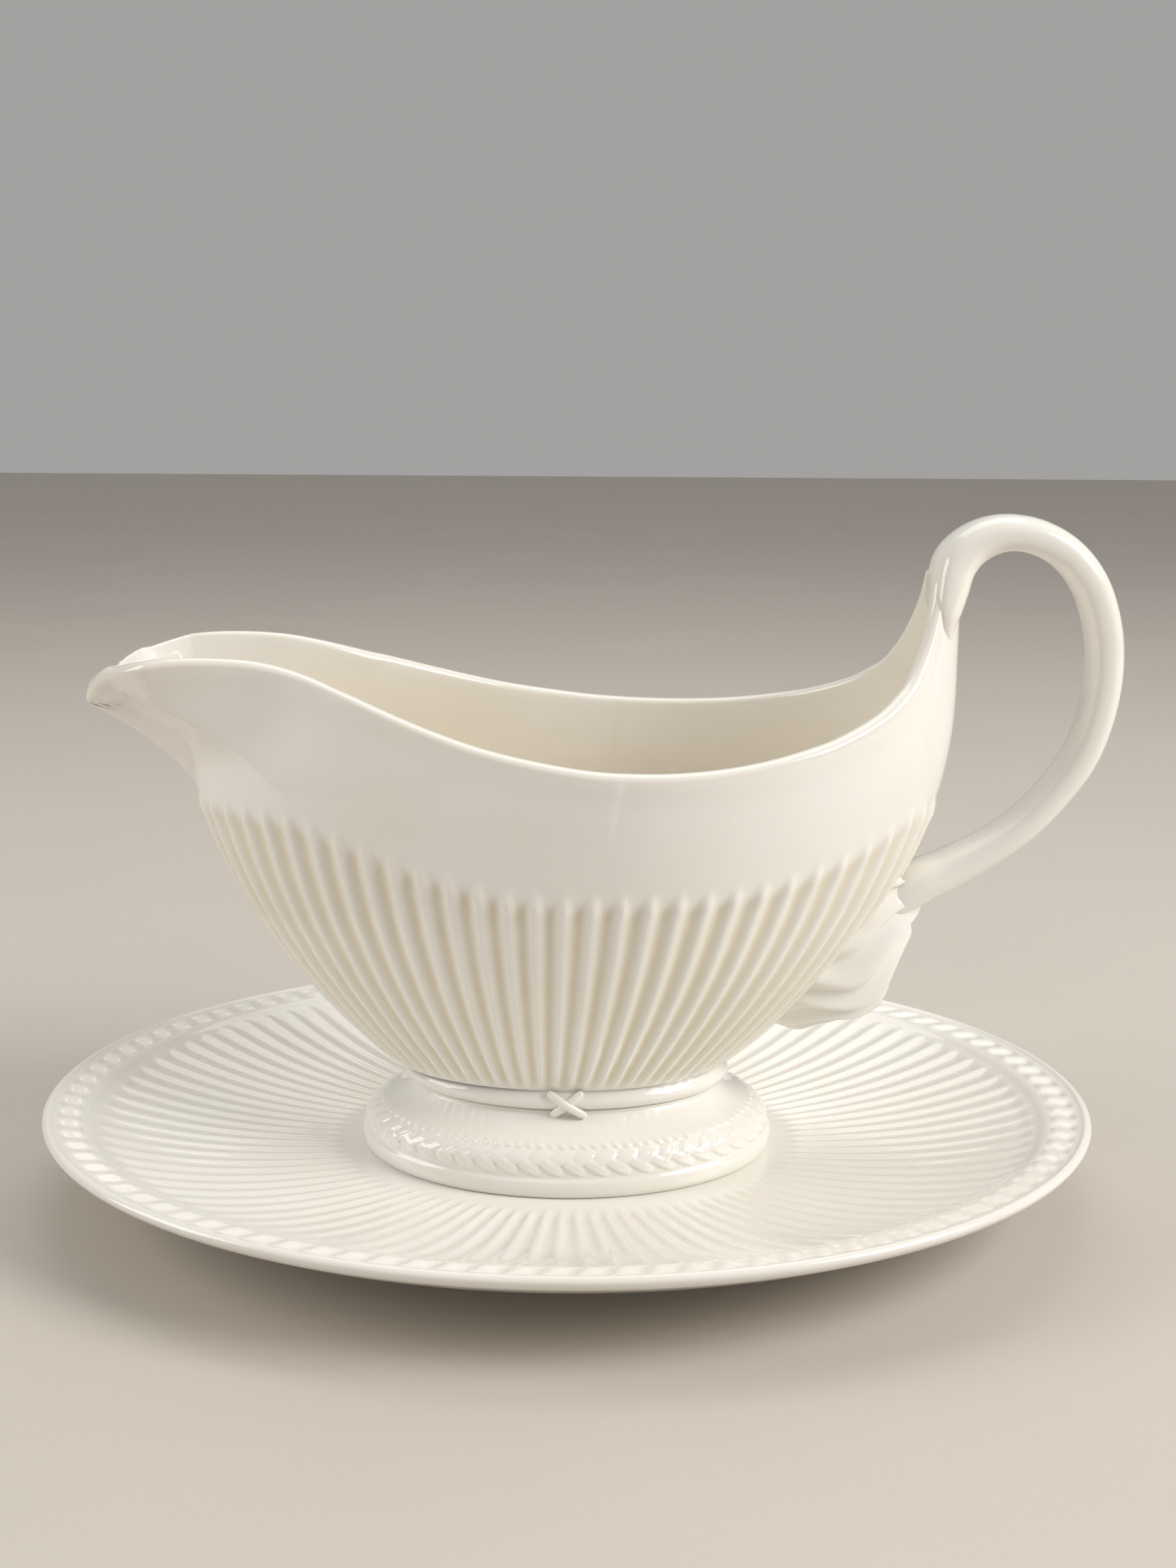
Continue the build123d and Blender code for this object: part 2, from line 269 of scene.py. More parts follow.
# %% [markdown]
# ## The bowl
#
# Its outside carries narrow raised flutes with rounded tops, and the wall above them is smooth. The
# inside follows the outside a wall's thickness in. A Solidify modifier would do the same, but it would
# copy the flutes to the inside, so the inside is taken from the smooth shape.

# %% Bowl: the smooth skin, its normals and its flutes
FLUTES_HALF = 32
COLUMNS = 2 * HALF_STEPS
WALL_ROWS = 64
LIP_ROWS = 10
INNER_ROWS = 44
FLOOR_ROWS = 8
flute_high = 0.85
floor_height = bowl_base + 5.0


def outside_at(u, v):
    """The smooth outside: u runs round from the front tip, v climbs from the collar to the rim."""
    share = 1 - np.abs(2 * u - 1)
    side = np.where(u < 0.5, -1.0, 1.0)
    top = np.interp(share, shares, rim_at)
    z = bowl_base + (top - bowl_base) * v
    xy = on_outline(share, z)
    return np.stack([xy[:, 0], xy[:, 1] * side, z], axis=1)


def skin_normal(u, v):
    du, dv = 0.0016, 0.006
    across = outside_at((u + du) % 1, v) - outside_at((u - du) % 1, v)
    up = outside_at(u, np.minimum(v + dv, 1)) - outside_at(u, np.maximum(v - dv, 0))
    normal = np.cross(across, up)
    length = np.linalg.norm(normal, axis=1, keepdims=True)
    normal = normal / np.maximum(length, 1e-9)
    ends = (np.abs(u) < 1e-6) | (np.abs(u - 1) < 1e-6) | (np.abs(u - 0.5) < 1e-6)
    normal[ends, 1] = 0
    return normal / np.linalg.norm(normal, axis=1, keepdims=True)


def flute_top(x):
    """The height where a flute ends: low at the middle of the side, higher towards lip and handle."""
    return 80.3 + 14.7 * smooth(0, 75, -x) + 5.0 * (np.maximum(x - 26, 0) / 31) ** 2


def flute_share(u, place):
    """0 in a valley and on the plain wall, 1 on a flute's crest."""
    turn = (1 - np.abs(2 * u - 1)) * FLUTES_HALF
    crest = (0.5 + 0.5 * np.cos(2 * math.pi * turn)) ** 1.1
    top = np.minimum(flute_top(place[:, 0]), 93.0)
    fade = 1 - smooth(-1.6, 1.6, place[:, 2] - top + 2.2 * (1 - crest))
    start = smooth(bowl_base + 0.3, bowl_base + 2.5, place[:, 2])
    return crest, fade * start


def bowl_wall(u, v):
    """Outside, rounded lip, inside and floor in one run of rows: v is split between them."""
    rows = WALL_ROWS + LIP_ROWS + INNER_ROWS + FLOOR_ROWS
    row = np.rint(v * rows).astype(int)
    place = np.zeros((len(u), 3))

    outer = row <= WALL_ROWS
    climb = (row[outer] / WALL_ROWS) ** 0.95
    skin = outside_at(u[outer], climb)
    normal = skin_normal(u[outer], climb)
    crest, shown = flute_share(u[outer], skin)
    below = np.interp(1 - np.abs(2 * u[outer] - 1), shares, rim_at) - skin[:, 2]
    lip_swell = 0.4 * (1 - smooth(0.5, 6.0, below))
    knob = 0.3 * np.exp(-((skin[:, 2] - np.minimum(flute_top(skin[:, 0]), 93.0) + 2.2) / 1.7) ** 2)
    push = shown * (flute_high * (crest - 0.25) + knob * crest) + lip_swell
    place[outer] = skin + normal * push[:, None]

    rim = outside_at(u, np.ones_like(u))
    rim_normal = skin_normal(u, np.full_like(u, 0.985))
    step = 0.002
    along = outside_at((u + step) % 1, np.ones_like(u)) - outside_at((u - step) % 1, np.ones_like(u))
    up = np.cross(rim_normal, along)
    up = up / np.maximum(np.linalg.norm(up, axis=1, keepdims=True), 1e-9)
    up = np.where(up[:, 2:3] < 0, -up, up)
    thick = inner_wall(rim) / 2 + 0.2
    lip = (row > WALL_ROWS) & (row <= WALL_ROWS + LIP_ROWS)
    angle = math.pi * (row[lip] - WALL_ROWS) / LIP_ROWS
    turn = thick[lip, None]
    centre = rim[lip] - rim_normal[lip] * (turn - 0.4)
    place[lip] = centre + turn * (np.cos(angle)[:, None] * rim_normal[lip] + 0.75 * np.sin(angle)[:, None] * up[lip])

    inner = (row > WALL_ROWS + LIP_ROWS) & (row <= WALL_ROWS + LIP_ROWS + INNER_ROWS)
    sink = (row[inner] - WALL_ROWS - LIP_ROWS) / INNER_ROWS
    top = np.interp(1 - np.abs(2 * u[inner] - 1), shares, rim_at)
    end_v = (floor_height + 1.5 - bowl_base) / (top - bowl_base)
    v_in = 1 + (end_v - 1) * sink
    skin = outside_at(u[inner], v_in)
    normal = skin_normal(u[inner], np.minimum(v_in, 0.985))
    place[inner] = skin - normal * inner_wall(skin)[:, None]

    floor = row > WALL_ROWS + LIP_ROWS + INNER_ROWS
    close = (row[floor] - WALL_ROWS - LIP_ROWS - INNER_ROWS) / FLOOR_ROWS
    top = np.interp(1 - np.abs(2 * u[floor] - 1), shares, rim_at)
    low_v = (floor_height + 1.5 - bowl_base) / (top - bowl_base)
    edge = outside_at(u[floor], low_v)
    edge = edge - skin_normal(u[floor], low_v) * inner_wall(edge)[:, None]
    inward = 1 - close
    fall = 2.4 * smooth(0, 0.7, close)
    place[floor] = np.stack([edge[:, 0] * inward, edge[:, 1] * inward, edge[:, 2] - fall], axis=1)
    return place


def inner_wall(skin):
    """The wall's thickness, which grows up the tongue to the strap's."""
    back = smooth(60, 80, skin[:, 0]) * np.exp(-((skin[:, 1] / 5.0) ** 2))
    return wall + (4.6 * back - 0.6) * smooth(118, join, skin[:, 2])


def pool_and_inner_shade_of(piece):
    """How deep in a valley between flutes each point of the outside lies, worked out again from its place; there the
    glaze pools. Over the lip and inside, it is painted shade that deepens from the rim down.
    """
    spots = np.array([v.co for v in piece.data.vertices]) / MM
    layer = piece.data.uv_layers.active
    around = np.zeros(len(spots))
    climb = np.zeros(len(spots))
    for loop, uv in zip(piece.data.loops, layer.data):
        around[loop.vertex_index] = uv.uv[0]
        climb[loop.vertex_index] = uv.uv[1]
    crest, shown = flute_share(around, spots)
    rows = WALL_ROWS + LIP_ROWS + INNER_ROWS + FLOOR_ROWS
    outside = climb <= WALL_ROWS / rows
    deep = smooth(WALL_ROWS + LIP_ROWS, WALL_ROWS + LIP_ROWS + 0.45 * INNER_ROWS, climb * rows)
    # outside: glaze pooling in flute valleys; lip and inside: painted shade, deeper from the rim down
    return np.where(outside, shown * (1 - crest), 0.25 + 0.9 * deep)


bowl = bent_grid("fluted_bowl", COLUMNS, WALL_ROWS + LIP_ROWS + INNER_ROWS + FLOOR_ROWS, bowl_wall)
# the number stored here is glaze pooling outside and painted shade inside the bowl
grade(bowl, "pool_and_inner_shade", pool_and_inner_shade_of(bowl))
print("wall", wall, "mm, and flutes", 2 * FLUTES_HALF)

# %% [markdown]
# ## The foot and the collar
#
# A turner would cut both as one moulding: a plain plinth, a leaf band, a bead line, a cove and a ring.
# The ovals change their proportion on the way up, so a spun profile scaled in Y won't do. A grid bent
# through a list of ovals will, and its band of leaves is pushed out of the same skin.

# %% Foot: a moulding through ovals
def oval_walk(ratio, count=2048):
    """Angle against the share of an oval's length walked, so that patterns are evenly spaced."""
    angle = np.linspace(0, 2 * math.pi, count)
    step = np.hypot(np.sin(angle), ratio * np.cos(angle))
    walked = np.concatenate([[0], np.cumsum((step[1:] + step[:-1]) / 2)])
    return angle, walked / walked[-1]


def oval_moulding(name, ovals, around, along, relief):
    """ovals are (half length, half width, height); relief(share, row, z) is how far the skin is pushed out."""
    angles, walked = oval_walk(ovals[0][1] / ovals[0][0])

    def place(u, v):
        angle = np.interp(u, walked, angles)
        size = smooth_path(ovals, v)
        push = relief(u, v, size[:, 2])
        long, wide = size[:, 0] + push, size[:, 1] + push
        return np.stack([long * np.cos(angle), wide * np.sin(angle), size[:, 2]], axis=1)

    return bent_grid(name, around, along, place)


LEAVES = 50
BEADS = 96
FOOT_GIRTH = 258.0
LEAF_TURN = 0.5


def leaf_band(share, z, low, high):
    """Two rows of small overlapping leaves that lean away from each other."""
    cell = FOOT_GIRTH / LEAVES
    across = z - (low + high) / 2
    best = np.zeros_like(z)
    for row, lean in ((0, 1), (1, -1)):
        for shift in (-1, 0, 1):
            along = ((share * LEAVES + 0.5 * row) % 1 - 0.5 + shift) * cell
            b = across - lean * 0.24 * (high - low)
            p = along * math.cos(LEAF_TURN) + lean * b * math.sin(LEAF_TURN)
            q = b * math.cos(LEAF_TURN) - lean * along * math.sin(LEAF_TURN)
            blade = np.clip(1 - (p / 3.4) ** 2 - (q / 1.35) ** 2, 0, 1) ** 0.6
            vein = 0.28 * np.exp(-((q / 0.22) ** 2)) * (blade > 0.2)
            best = np.maximum(best, blade - vein)
    return best


def foot_relief(share, row, z):
    """The band of leaves and the cord above it, on the outside only."""
    outside = (row > 0.14) & (row < 0.86)
    leaves = 0.5 * leaf_band(share, z, 16.6, 20.6) * (z > 15) * (z < 20.9)
    up = z - 21.4
    cord = 0.5 * np.exp(-((up / 0.55) ** 2)) * (0.75 + 0.45 * np.cos(2 * math.pi * (share * BEADS + up * 0.35)))
    return np.where(outside, leaves + cord, 0.0)


foot_long, foot_wide = foot_high[0], foot_high[1]
foot_ovals = [
    (foot_long - 12, foot_wide - 12, seat + 9), (foot_long - 6.5, foot_wide - 6.5, seat + 2.5),
    (foot_long - 4.8, foot_wide - 4.8, seat + 0.3), (foot_long - 3.2, foot_wide - 3.2, seat),
    (foot_long - 1.2, foot_wide - 1.2, seat), (foot_long - 0.35, foot_wide - 0.35, seat + 0.8),
    (foot_long, foot_wide, seat + 2.2), (foot_long - 0.1, foot_wide - 0.1, seat + 3.8),
    (foot_long - 0.7, foot_wide - 0.7, seat + 4.7), (foot_long - 0.9, foot_wide - 0.9, seat + 5.9),
    (foot_long - 1.6, foot_wide - 1.3, seat + 7.8), (foot_long - 2.8, foot_wide - 2.2, seat + 9.3),
    (foot_long - 4.3, foot_wide - 3.6, seat + 10.4), (foot_long - 5.4, foot_wide - 4.8, seat + 11.2),
    (foot_long - 7.9, foot_wide - 7.1, seat + 12.2), (foot_long - 10.1, foot_wide - 9.5, seat + 13.5),
    (neck_long - 0.3, neck_wide + 0.2, seat + 15.0), (neck_long - 0.6, neck_wide - 0.2, seat + 15.7),
    (neck_long - 4.5, neck_wide - 4.5, seat + 15.7),
]
foot = oval_moulding("moulded_foot", foot_ovals, 640, 120, foot_relief)
collar_profile = [
    (-4, 0.0), (-0.5, 0.1), (-0.4, 0.9), (0.6, 1.4), (1.35, 2.6), (1.3, 3.6), (0.5, 4.7), (-0.1, 5.3), (-0.2, 6.0),
    (-4, 6.0),
]
collar_ovals = [(neck_long + out, neck_wide + out, collar_low[2] + up) for out, up in collar_profile]
collar = oval_moulding("collar_ring", collar_ovals, 320, 40, lambda share, row, z: np.zeros_like(z))


def hand_over(piece, body, node):
    """Puts a piece on its body in place of its CAD node."""
    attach(piece, body)
    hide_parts(node)


hand_over(bowl, "boat", "boat_bowl")
hand_over(foot, "boat", "boat_foot")
hand_over(collar, "boat", "boat_collar")

# %% [markdown]
# ## Ribbon ties
#
# Two strands of ribbon cross over the collar at the front and at the back. Each strand is a tube bent
# along the ring's curve. Four strands become one piece by joining their meshes.

# %% Ties on the collar
STRAND_THICK = 0.75
STRAND_WIDE = 0.95


def tube(name, centre, side):
    """A closed strand along the line centre(v), lying against the side, with its ends rounded off."""
    def place(u, v):
        turn = 2 * math.pi * u
        ahead = centre(np.minimum(v + 0.01, 1)) - centre(np.maximum(v - 0.01, 0))
        ahead = ahead / np.linalg.norm(ahead, axis=1, keepdims=True)
        flat = np.cross(ahead, np.array([0.0, side, 0.0]))
        flat = flat / np.linalg.norm(flat, axis=1, keepdims=True)
        out = np.cross(flat, ahead)
        cap = np.sqrt(np.clip(1 - (2 * np.abs(v - 0.5)) ** 10, 0, 1))[:, None]
        across = STRAND_WIDE * np.cos(turn)[:, None] * flat
        return centre(v) + cap * (across + STRAND_THICK * np.sin(turn)[:, None] * out)

    return bent_grid(name, 14, 24, place)


def join_meshes(name, pieces):
    bm = bmesh.new()
    for piece in pieces:
        bm.from_mesh(piece.data)
        bpy.data.objects.remove(piece)
    mesh = bpy.data.meshes.new(name)
    bm.to_mesh(mesh)
    bm.free()
    mesh.shade_smooth()
    joined = bpy.data.objects.new(name, mesh)
    bpy.context.scene.collection.objects.link(joined)
    return joined


def strand(side, lean, long, lift):
    """One strand at the front (side -1) or back (1), lifted where it lies on top of the other."""
    def centre(v):
        x = long * (2 * v - 1)
        z = collar_low[2] + 2.7 - lean * (2 * v - 1) * 2.9
        bulge = 0.8 * np.sin(math.pi * np.clip((z - collar_low[2]) / 5.5, 0, 1))
        ring = neck_wide + 0.6 + bulge + lift
        y = side * ring * np.sqrt(1 - (x / (neck_long + 1)) ** 2)
        return np.stack([x + 0.8, y, z], axis=1)

    return tube("strand", centre, side)


ties = join_meshes("ribbon_ties", [
    strand(-1, 1, 4.4, 0.55), strand(-1, -1, 3.6, 0.1), strand(1, 1, 3.6, 0.1), strand(1, -1, 4.4, 0.55)])

# %% [markdown]
# ## The handle
#
# A strap that grows out of the bowl's tongue, loops over and comes back in lower down. One face is
# rounded and the face towards the hand's opening is slightly hollow, as a pulled strap is. A bevelled
# curve scales its section evenly, but this one widens at the joins without growing thicker, so the
# strap is a bent grid too.

# %% Handle: a strap bent along its line
strap_line = [
    (82.4, 128.0, 0.5, 1.6, 6.6), (81.2, 134.0, 2.2, 4.5, 9.4), (82.2, 140.0, 3.6, 5.2, 9.2),
    (84.6, 145.6, 4.8, 4.7, 8.0), (88.6, 149.6, 4.6, 4.4, 7.0), (94.4, 151.5, 4.4, 4.3, 6.6),
    (101.6, 150.6, 4.4, 4.3, 6.5), (108.5, 146.8, 4.4, 4.3, 6.5), (113.8, 140.2, 4.4, 4.3, 6.5),
    (117.0, 131.0, 4.4, 4.3, 6.4), (117.9, 121.5, 4.3, 4.2, 6.3), (116.8, 112.0, 4.2, 4.1, 6.2),
    (113.9, 103.0, 4.2, 4.0, 6.1), (109.0, 95.2, 4.1, 4.0, 6.1), (102.5, 87.8, 4.1, 4.0, 6.2),
    (94.8, 81.8, 4.2, 4.1, 6.4), (86.0, 76.5, 4.5, 4.3, 6.9), (78.0, 72.5, 4.8, 4.6, 7.6), (70.0, 66.0, 4.0, 4.0, 7.0),
]


def strap_centre(v):
    line = smooth_path(strap_line, v)
    return np.stack([line[:, 0], np.zeros(len(v)), line[:, 1]], axis=1)


def strap_skin(u, v):
    """The strap's table gives x, z, the depth to its outer and inner face, and half its width."""
    turn = 2 * math.pi * u
    size = smooth_path(strap_line, v)
    ahead = strap_centre(np.minimum(v + 0.005, 1)) - strap_centre(np.maximum(v - 0.005, 0))
    ahead = ahead / np.linalg.norm(ahead, axis=1, keepdims=True)
    side = np.array([[0.0, 1.0, 0.0]])
    inward = np.cross(side, ahead)
    across = np.sign(np.cos(turn)) * np.abs(np.cos(turn)) ** 0.85
    through = np.sign(np.sin(turn)) * np.abs(np.sin(turn)) ** 0.80
    hollow = 0.22 * (1 - across**2) * (through > 0) * smooth(0.22, 0.32, v) * (1 - smooth(0.80, 0.90, v))
    depth = np.where(through > 0, size[:, 3], size[:, 2]) * (through - hollow)
    return strap_centre(v) + (across * size[:, 4])[:, None] * side + depth[:, None] * inward


handle = bent_grid("strap_handle", 48, 220, strap_skin)

# %% [markdown]
# ## The leaf under the handle
#
# A raised, curling leaf hides the join between strap and bowl. It lies on the bowl's back like a patch:
# its edge is sunk in the wall and its middle stands proud. Waves along and across it make the lobes.

# %% Leaf: a patch on the bowl's back
leaf_stations = [(76, 3.2, 7.2), (72, 5.6, 8.8), (67.5, 8.4, 10.8), (61.8, 10.8, 12.6), (56, 12.0, 13.0),
                 (51, 10.4, 12.4), (47.8, 8.4, 11.0), (44.5, 5.9, 8.6), (42, 3.3, 5.6), (39.8, 0.6, 2.2)]


def back_of_bowl(z, y):
    """The bowl's back at a height and distance to the side, as x."""
    level = np.clip((z - heights[0]) / (heights[1] - heights[0]), 0, len(heights) - 1.001)
    x = np.zeros_like(z)
    for row in np.unique(level.astype(int)):
        for step in (0, 1):
            rear = table[row + step, HALF_STEPS * 3 // 4:]
            share = np.where(level.astype(int) == row, 1 - np.abs(level - row - step), 0.0)
            x += share * np.interp(np.abs(y), rear[::-1, 1], rear[::-1, 0])
    return x


def leaf_skin(u, v):
    """The table gives the height on the wall, how far the leaf stands proud of it, and half its width."""
    z, proud, half = smooth_path(leaf_stations, v).T
    across = 2 * u - 1
    aside = np.abs(across)
    sway = 0.22 * np.sin(2 * math.pi * (2.1 * v + 0.5 * aside))
    fan = 3.4 * aside**0.9 - 4.6 * v + sway
    ridge = 0.5 + 0.5 * np.cos(2 * math.pi * fan)
    y = across * half * (1 + 0.09 * (ridge - 0.5) * smooth(0.5, 1.0, aside))
    x = back_of_bowl(z, y)
    rounded = np.clip(1 - aside**2.8, 0, 1)
    rib = np.exp(-((across / 0.10) ** 2)) - 0.8 * np.exp(-((aside - 0.2) / 0.06) ** 2)
    curl = 0.9 * np.sin(2 * math.pi * (2.2 * v + 0.15)) * smooth(0.15, 0.6, 1 - aside)
    relief = (2.6 * ridge * smooth(0.16, 0.30, aside) + 0.6 * rib + curl) * smooth(0.5, 5, proud)
    sunk = 1.8 * (1 - rounded)
    height = proud * rounded + relief * rounded**0.35 - sunk
    lean = 0.80 - 0.10 * v
    fall = -np.sqrt(1 - lean**2)
    return np.stack([x + lean * height, y + 0.25 * across * height, z + fall * height], axis=1)


leaf = bent_grid("handle_leaf_scroll", 120, 200, leaf_skin)
hand_over(ties, "boat", "foot_ribbon_ties")
hand_over(handle, "boat", "boat_handle")
hand_over(leaf, "boat", "handle_leaf")

# %% [markdown]
# ## The stand
#
# The stand is turned, then pressed: a plain lip, a band of short reeds, a smooth step and radial flutes
# that run down to the flat well. A spun profile gives the turned shape, and scaling it in Y makes the
# oval. The reeds and flutes are then pushed out of the skin, evenly spaced along the oval.

# %% Stand: a spun profile, then flutes and reeds
SPOKES = 96
edge = dish_high[0] - 0.02
ratio = dish_high[1] / dish_high[0]
top_line = [
    (0.0, seat), (40, seat), (51.8, seat), (60, seat + 0.35), (72, seat + 1.3), (84, seat + 2.9),
    (95, seat + 5.2),
    (103, seat + 7.4), (107.5, seat + 8.9), (110, seat + 10.0), (112.5, seat + 10.5), (115.5, seat + 10.6),
    (117.5, seat + 11.0), (118.6, seat + 11.4), (119.6, seat + 11.0), (edge, seat + 10.2),
    (119.2, seat + 9.0), (116.5, seat + 7.4), (108, seat + 3.6), (96, seat - 0.4), (84, seat - 2.9),
    (72, seat - 4.0), (60, seat - 4.25), (30, seat - 4.25), (0.0, seat - 4.25),
]
PROFILE_STEPS = 128
profile = smooth_path(top_line, np.linspace(0, 1, PROFILE_STEPS + 1))
profile[:, 0] = np.clip(profile[:, 0], 0, edge)
bm = bmesh.new()
last = None
for radius, height in profile:
    vert = bm.verts.new((radius, 0, height))
    if last:
        bm.edges.new((last, vert))
    last = vert
bmesh.ops.spin(bm, geom=bm.verts[:] + bm.edges[:], cent=(0, 0, 0), axis=(0, 0, 1), angle=2 * math.pi,
               steps=SPOKES * 8, use_merge=True)
points = np.array([v.co for v in bm.verts])
radius = np.hypot(points[:, 0], points[:, 1])
angle = np.arctan2(points[:, 1], points[:, 0]) % (2 * math.pi)
angles, walked = oval_walk(ratio)
spoke = np.interp(angle, angles, walked) * SPOKES
middle_of_clay = np.interp(radius, [0, 60, 84, 96, 108, 120], [-2, -2, 0, 2, 6, 10]) + seat
upper = points[:, 2] > middle_of_clay
crest = (0.5 + 0.5 * np.cos(2 * math.pi * spoke)) ** 1.4
flute_zone = smooth(52.5, 57.5, radius + 1.6 * crest) * (1 - smooth(104.5, 107.0, radius - 1.2 * crest))
reed = (0.5 + 0.5 * np.cos(2 * math.pi * (spoke + 0.05 * (radius - 114)))) ** 0.8
reed_zone = smooth(110.8, 112.4, radius) * (1 - smooth(115.4, 117.0, radius))
lift = upper * (flute_zone * (0.62 * crest - 0.30) + reed_zone * (0.85 * reed - 0.45))
for vert, up in zip(bm.verts, lift):
    vert.co.z += up
bmesh.ops.scale(bm, vec=(1, ratio, 1), verts=bm.verts)
stand = finish_mesh(bm, "fluted_stand")
print("the stand has", SPOKES, "flutes and as many reeds")
hand_over(stand, "stand", "stand_dish")

# %% [markdown]
# ## Glaze
#
# The body is cream earthenware under a clear, faintly ivory glaze. It is thin and white on edges and
# pools warmer in hollows, it carries a few iron specks, and its surface is very slightly wavy, which
# softens what it mirrors. Noise on Object coordinates places all of that in the piece's own space. The
# warm pooled colour is also painted over the inside of the bowl as shade, deeper from the rim down.

# %% Shader sums
class Wire:
    """A shader socket that can be added, multiplied and so on; each sum adds a Math node."""

    def __init__(self, tree, socket):
        self.tree, self.socket = tree, socket

    def node(self, kind, settings=None, **inputs):
        """Any node: its settings first, then its sockets by name, or by number as i0, i1 and so on."""
        made = self.tree.nodes.new(kind)
        for key, value in (settings or {}).items():
            setattr(made, key, value)
        for key, value in inputs.items():
            slot = made.inputs[int(key[1:])] if key[1:].isdigit() else made.inputs[key.replace("_", " ")]
            if isinstance(value, Wire):
                self.tree.links.new(value.socket, slot)
            else:
                slot.default_value = value
        return made

    def out(self, made, name=0):
        return Wire(self.tree, made.outputs[name])

    def sum(self, operation, a, b):
        return self.out(self.node("ShaderNodeMath", {"operation": operation}, i0=a, i1=b))

    def __add__(self, other):
        return self.sum("ADD", self, other)

    def __sub__(self, other):
        return self.sum("SUBTRACT", self, other)

    def __rsub__(self, other):
        return self.sum("SUBTRACT", other, self)

    def __mul__(self, other):
        return self.sum("MULTIPLY", self, other)

    def __gt__(self, other):
        return self.sum("GREATER_THAN", self, other)

    def eased(self, low, high):
        """0 below low, 1 above high, and an easy curve between."""
        settings = {"interpolation_type": "SMOOTHSTEP"}
        return self.out(self.node("ShaderNodeMapRange", settings, Value=self, From_Min=low, From_Max=high), "Result")

    def tint(self, low, high):
        """A colour between low and high, by this number."""
        mixed = self.node("ShaderNodeMix", {"data_type": "RGBA"}, i0=self, i6=low, i7=high)
        return self.out(mixed, 2)

    __radd__, __rmul__ = __add__, __mul__


# %% The ivory glaze
def ivory_glaze(name, white, ivory, pooled_and_shaded):
    material = bpy.data.materials.new(name)
    material.use_nodes = True
    tree = material.node_tree
    shader = tree.nodes["Principled BSDF"]
    start = Wire(tree, None)
    place = start.out(start.node("ShaderNodeTexCoord"), "Object")
    cloud = start.out(start.node("ShaderNodeTexNoise", Vector=place, Scale=18.0, Detail=3.0), "Fac")
    fine = start.out(start.node("ShaderNodeTexNoise", Vector=place, Scale=160.0, Detail=2.0), "Fac")
    pool_and_inner_shade = start.out(start.node("ShaderNodeAttribute", {"attribute_name": "pool_and_inner_shade"}), "Fac")
    edge = start.out(start.node("ShaderNodeNewGeometry"), "Pointiness")
    # hollow: glaze pooled in concave spots and flute valleys, plus painted shade inside the bowl
    hollow = (1 - edge.eased(0.44, 0.50)) * 0.55 + pool_and_inner_shade * 0.75
    colour = cloud.eased(0.35, 0.7).tint(white, ivory)
    colour = (hollow * (0.75 + fine * 0.4)).tint(colour, pooled_and_shaded)
    cell = start.node("ShaderNodeTexVoronoi", Vector=place, Scale=62.0, Randomness=1.0)
    speck = 1 - start.out(cell, "Distance").eased(0.018, 0.034)
    rare = start.out(start.node("ShaderNodeSeparateColor", Color=start.out(cell, "Color")), "Red") > 0.93
    colour = (speck * rare * 0.75).tint(colour, (0.22, 0.12, 0.05, 1))
    tree.links.new(colour.socket, shader.inputs["Base Color"])
    rough = 0.075 + fine.eased(0.3, 0.8) * 0.05 + hollow * 0.03
    tree.links.new(rough.socket, shader.inputs["Roughness"])
    wave = start.out(start.node("ShaderNodeTexNoise", Vector=place, Scale=95.0, Detail=1.0), "Fac")
    ripple = cloud * 0.9 + wave * 0.22
    bump = start.node("ShaderNodeBump", Height=ripple, Strength=0.10, Distance=0.002)
    tree.links.new(bump.outputs["Normal"], shader.inputs["Normal"])
    shader.inputs["IOR"].default_value = 1.52
    shader.inputs["Coat Weight"].default_value = 0.25
    shader.inputs["Coat Roughness"].default_value = 0.03
    return material


# the third colour is pooled glaze and also the painted shade inside the bowl
glaze = ivory_glaze("ivory_glaze", (0.885, 0.865, 0.815, 1), (0.865, 0.835, 0.765, 1), (0.77, 0.685, 0.535, 1))
for piece in (bowl, foot, collar, ties, handle, leaf, stand):
    piece.data.materials.append(glaze)
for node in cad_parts.values():
    node.data.materials.clear()
    node.data.materials.append(glaze)

# %% [markdown]
# ## Table, light and camera
#
# White pottery needs a surface a little darker than itself to show its edges, so the table is a pale
# warm grey. Two soft windows and a weak light overhead shape the clay and keep the shade open.

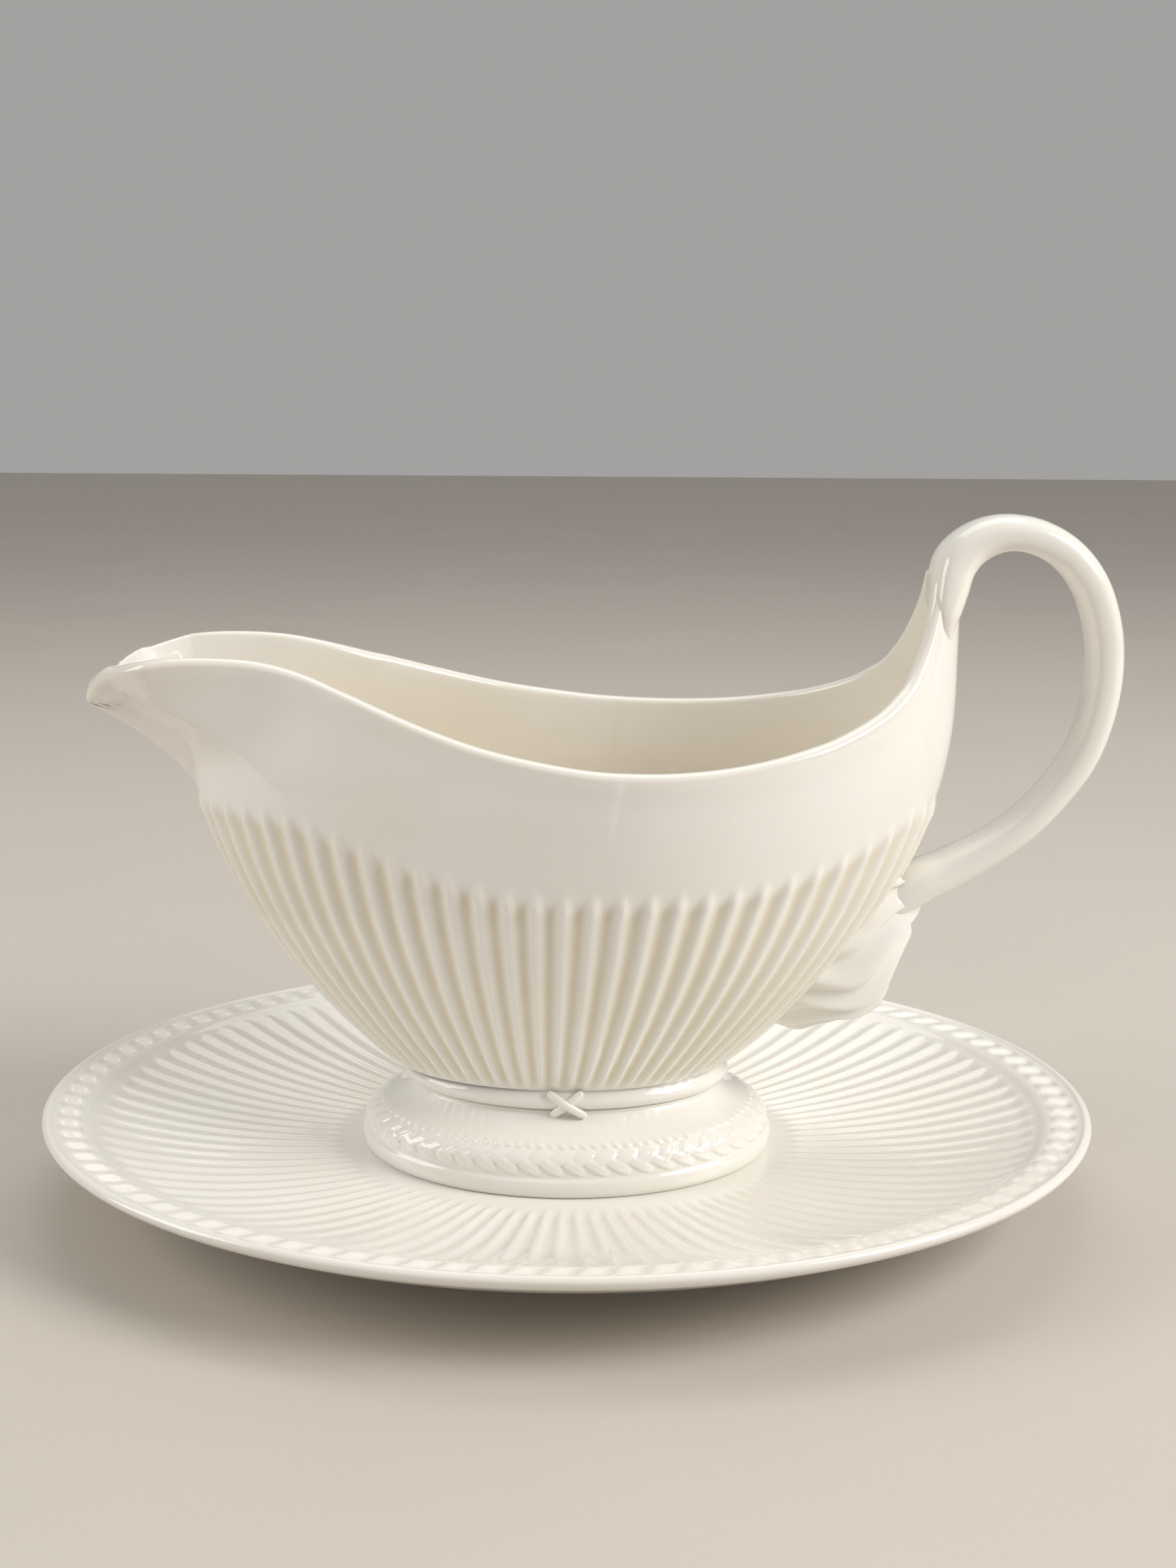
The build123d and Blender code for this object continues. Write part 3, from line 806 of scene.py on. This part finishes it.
# %% Table
bm = bmesh.new()
bmesh.ops.create_grid(bm, x_segments=4, y_segments=4, size=3.0)
mesh = bpy.data.meshes.new("table")
bm.to_mesh(mesh)
bm.free()
table_top = bpy.data.objects.new("table", mesh)
bpy.context.scene.collection.objects.link(table_top)
paper = bpy.data.materials.new("table_paper")
paper.use_nodes = True
start = Wire(paper.node_tree, None)
place = start.out(start.node("ShaderNodeTexCoord"), "Object")
grain = start.out(start.node("ShaderNodeTexNoise", Vector=place, Scale=9.0, Detail=5.0), "Fac")
pale, shaded = (0.62, 0.57, 0.51, 1), (0.577, 0.530, 0.474, 1)
surface = paper.node_tree.nodes["Principled BSDF"]
paper.node_tree.links.new(grain.tint(shaded, pale).socket, surface.inputs["Base Color"])
surface.inputs["Roughness"].default_value = 0.6
mesh.materials.append(paper)

# %% Camera
camera_data = bpy.data.cameras.new("camera")
camera_data.sensor_fit = "VERTICAL"
camera_data.sensor_height = 36.0
camera_data.lens = 42.31
camera = bpy.data.objects.new("camera", camera_data)
turn = Matrix(((0.99981, -0.00938, 0.01703), (0.01867, 0.21783, -0.97581), (0.00544, 0.97594, 0.21797)))
camera.matrix_world = Matrix.LocRotScale(Vector((11.65, -404.50, 185.41)) * MM, turn.to_quaternion(), None)
bpy.context.scene.collection.objects.link(camera)
bpy.context.scene.camera = camera


# %% Light
def soft_box(name, spot, size, power, colour):
    light = bpy.data.lights.new(name, "AREA")
    light.shape = "RECTANGLE"
    light.size, light.size_y = size
    light.energy = power
    light.color = colour
    lamp = bpy.data.objects.new(name, light)
    lamp.location = spot
    lamp.rotation_euler = (Vector((0, 0, 0.07)) - Vector(spot)).to_track_quat("-Z", "Y").to_euler()
    bpy.context.scene.collection.objects.link(lamp)


soft_box("window", (0.95, -0.35, 0.75), (0.6, 0.6), 11.5, (1.0, 0.985, 0.96))
soft_box("left_window", (-0.95, -0.15, 0.55), (0.5, 0.6), 4.2, (1.0, 0.98, 0.95))
soft_box("overhead", (0.0, 0.45, 1.1), (0.9, 0.7), 3.2, (1.0, 0.99, 0.97))
world = bpy.data.worlds.new("room")
world.use_nodes = True
world.node_tree.nodes["Background"].inputs["Color"].default_value = (0.74, 0.72, 0.70, 1)
world.node_tree.nodes["Background"].inputs["Strength"].default_value = 0.5
bpy.context.scene.world = world
bpy.context.scene.view_settings.view_transform = "Standard"
